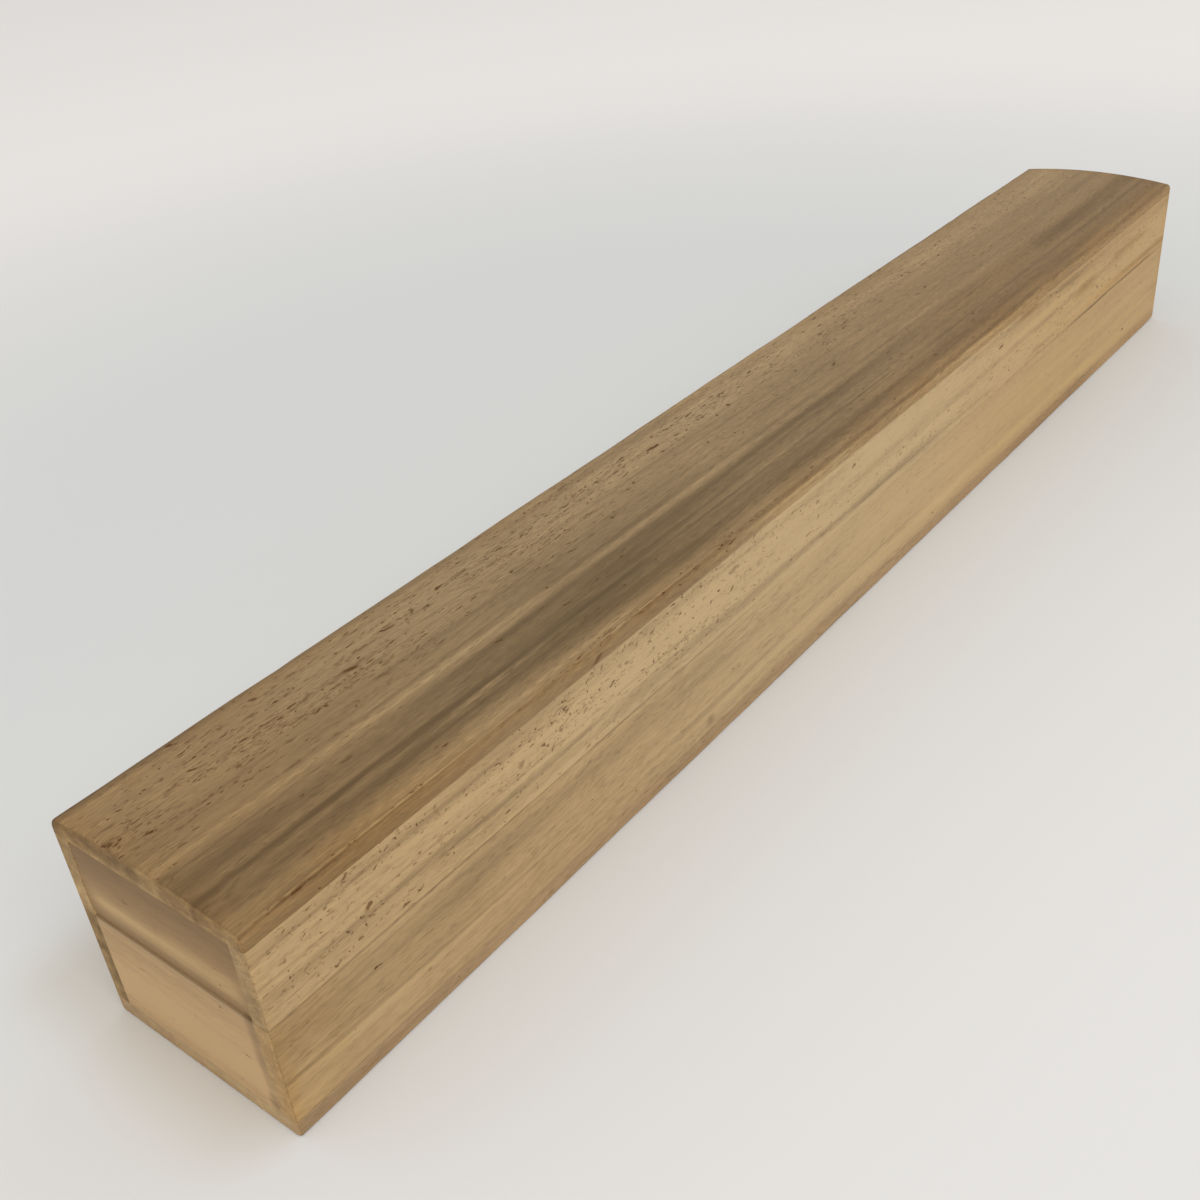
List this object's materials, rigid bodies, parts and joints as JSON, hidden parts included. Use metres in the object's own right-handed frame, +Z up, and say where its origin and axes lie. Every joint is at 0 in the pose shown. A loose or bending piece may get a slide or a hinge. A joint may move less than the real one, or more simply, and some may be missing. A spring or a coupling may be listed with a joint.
{
  "type": "scroll box",
  "caption": "Long narrow box of pale paulownia wood for a rolled hanging scroll, with a slightly crowned lift-off lid that meets the body flush at a seam.",
  "frame": {"origin": "middle of the box's footprint, on the surface that it stands on", "axes": "+X along the box's length, from its left end to its right end; -Y is the front long side; +Z is up"},
  "size_m": [0.564, 0.07, 0.0685],
  "materials": {
    "lid_top_wood": "bare planed paulownia, handled and darkened, with dark streaks along the grain",
    "rail_wood": "bare planed paulownia, light tan with brown pore dots",
    "lid_end_wood": "bare paulownia with the grain across the lid, brown",
    "wall_wood": "bare planed paulownia, tan with fine straight grain",
    "end_wood": "bare planed paulownia with the grain across the box",
    "bottom_wood": "bare paulownia, a darker brown board",
    "inner_wood": "bare paulownia, unhandled and pale",
    "peg_wood": "end grain of hard wooden pegs"
  },
  "bodies": {
    "box": {"bottom_board": "bottom_wood", "front_wall": "wall_wood", "back_wall": "wall_wood", "left_end_board": "end_wood", "right_end_board": "end_wood", "front_lip_strip": "inner_wood", "back_lip_strip": "inner_wood", "left_scroll_rest": "inner_wood", "right_scroll_rest": "inner_wood", "bottom_pegs": "peg_wood"},
    "lid": {"lid_top_board": "lid_top_wood", "lid_front_rail": "rail_wood", "lid_back_rail": "rail_wood", "lid_left_end_board": "lid_end_wood", "lid_right_end_board": "lid_end_wood"}
  },
  "joints": [
    {"name": "lid_lift", "type": "slide", "parent": "box", "child": "lid", "axis": [0, 0, 1], "range_m": [0, 0.08]}
  ]
}
